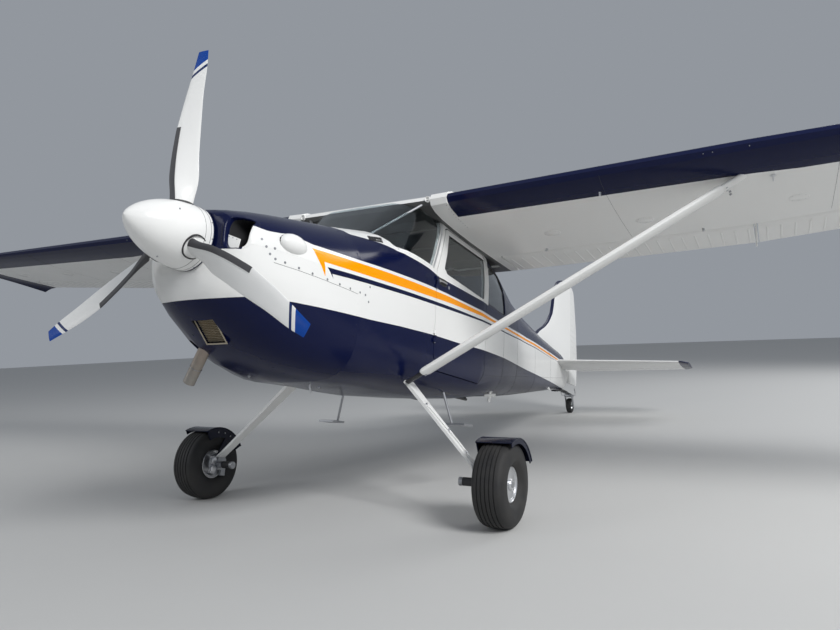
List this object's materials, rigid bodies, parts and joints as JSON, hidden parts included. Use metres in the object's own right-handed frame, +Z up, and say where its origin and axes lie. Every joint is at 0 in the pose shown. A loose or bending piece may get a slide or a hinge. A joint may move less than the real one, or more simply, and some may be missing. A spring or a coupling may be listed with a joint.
{
  "type": "light aircraft",
  "caption": "Four-seat high-wing light aircraft with a braced wing, tail wheel, propeller, hinged doors and moving control surfaces.",
  "frame": {"origin": "on the ground under the middle of the aircraft's box", "axes": "+X towards the nose, +Y to the aircraft's left, +Z up, parked on its three wheels with the nose raised"},
  "size_m": [7.8446, 10.94, 2.6788],
  "materials": {
    "white_paint": "gloss",
    "navy_paint": "gloss",
    "glazing": "clear",
    "rubber": "ribbed",
    "steel": "satin",
    "aluminium": "polished",
    "engine_metal": "matte",
    "filter_frame": "satin",
    "exhaust_metal": "heat stained",
    "trim_black": "matte",
    "seat_fabric": "woven"
  },
  "bodies": {
    "airframe": {"wing_left": "white_paint", "wing_right": "white_paint", "windshield": "glazing", "rear_glass_left": "glazing", "rear_glass_right": "glazing", "cabin_shell": "white_paint", "cabin_roof": "white_paint", "cowl_upper": "white_paint", "cowl_lower": "navy_paint", "engine": "engine_metal", "air_filter": "filter_frame", "exhaust_pipe": "exhaust_metal", "gear_leg_left": "white_paint", "axle_left": "steel", "fender_left": "navy_paint", "strut_left": "white_paint", "gear_leg_right": "white_paint", "axle_right": "steel", "fender_right": "navy_paint", "strut_right": "white_paint", "stabilizer": "white_paint", "tail_cone": "white_paint", "fin": "white_paint", "tail_spring": "steel", "step_left": "white_paint", "step_right": "white_paint", "cabin_floor": "trim_black", "instrument_panel": "trim_black", "seat_left": "seat_fabric", "seat_right": "seat_fabric", "seat_rear": "seat_fabric"},
    "propeller": {"propeller": "white_paint"},
    "wheel_left": {"tyre_left": "rubber", "rim_left": "aluminium"},
    "wheel_right": {"tyre_right": "rubber", "rim_right": "aluminium"},
    "tail_fork": {"tail_fork": "steel"},
    "tail_wheel": {"tail_tyre": "rubber", "tail_rim": "aluminium"},
    "rudder": {"rudder": "white_paint"},
    "elevator": {"elevator": "white_paint"},
    "aileron_left": {"aileron_left": "white_paint"},
    "aileron_right": {"aileron_right": "white_paint"},
    "flap_left": {"flap_left": "white_paint"},
    "flap_right": {"flap_right": "white_paint"},
    "door_left": {"door_left": "white_paint", "door_glass_left": "glazing"},
    "door_right": {"door_right": "white_paint", "door_glass_right": "glazing"}
  },
  "joints": [
    {"name": "propeller_spin", "type": "hinge", "parent": "airframe", "child": "propeller", "pos_m": [3.61498, 0, 1.68059], "axis": [0.9818, 0, 0.1901], "continuous": true},
    {"name": "wheel_left_spin", "type": "hinge", "parent": "airframe", "child": "wheel_left", "pos_m": [2.31834, 1.165, 0.24996], "axis": [0, 1, 0], "continuous": true},
    {"name": "wheel_right_spin", "type": "hinge", "parent": "airframe", "child": "wheel_right", "pos_m": [2.31834, -1.165, 0.24996], "axis": [0, 1, 0], "continuous": true},
    {"name": "tail_wheel_steer", "type": "hinge", "parent": "airframe", "child": "tail_fork", "pos_m": [-3.36288, 0, 0.24775], "axis": [-0.1901, 0, 0.9818], "range_deg": [-24, 24]},
    {"name": "tail_wheel_spin", "type": "hinge", "parent": "tail_fork", "child": "tail_wheel", "pos_m": [-3.41613, 0, 0.10196], "axis": [0, 1, 0], "continuous": true},
    {"name": "rudder_turn", "type": "hinge", "parent": "airframe", "child": "rudder", "pos_m": [-3.49949, 0, 1.32136], "axis": [-0.1901, 0, 0.9818], "range_deg": [-24, 24]},
    {"name": "elevator_turn", "type": "hinge", "parent": "airframe", "child": "elevator", "pos_m": [-3.13584, 0, 0.65331], "axis": [0, 1, 0], "range_deg": [-23, 28]},
    {"name": "aileron_left_turn", "type": "hinge", "parent": "airframe", "child": "aileron_left", "pos_m": [0.69174, 2.554, 1.87315], "axis": [0.1026, 0.9933, 0.0534], "range_deg": [-14, 20]},
    {"name": "aileron_right_turn", "type": "hinge", "parent": "airframe", "child": "aileron_right", "pos_m": [0.69174, -2.554, 1.87315], "axis": [-0.1026, 0.9933, -0.0534], "range_deg": [-20, 14]},
    {"name": "flap_left_turn", "type": "hinge", "parent": "airframe", "child": "flap_left", "pos_m": [0.70102, 0.64, 1.81703], "axis": [0.0056, -0.9996, -0.0291], "range_deg": [0, 40]},
    {"name": "flap_right_turn", "type": "hinge", "parent": "airframe", "child": "flap_right", "pos_m": [0.70102, -0.64, 1.81703], "axis": [-0.0056, -0.9996, 0.0291], "range_deg": [0, 40]},
    {"name": "door_left_swing", "type": "hinge", "parent": "airframe", "child": "door_left", "pos_m": [1.84585, 0.559, 1.33798], "axis": [0.1901, 0, -0.9818], "range_deg": [0, 75]},
    {"name": "door_right_swing", "type": "hinge", "parent": "airframe", "child": "door_right", "pos_m": [1.84585, -0.559, 1.33798], "axis": [-0.1901, 0, 0.9818], "range_deg": [0, 75]}
  ],
  "couplings": [
    {"joint": "aileron_right_turn", "follows": "aileron_left_turn", "ratio": -1},
    {"joint": "flap_right_turn", "follows": "flap_left_turn", "ratio": 1}
  ]
}
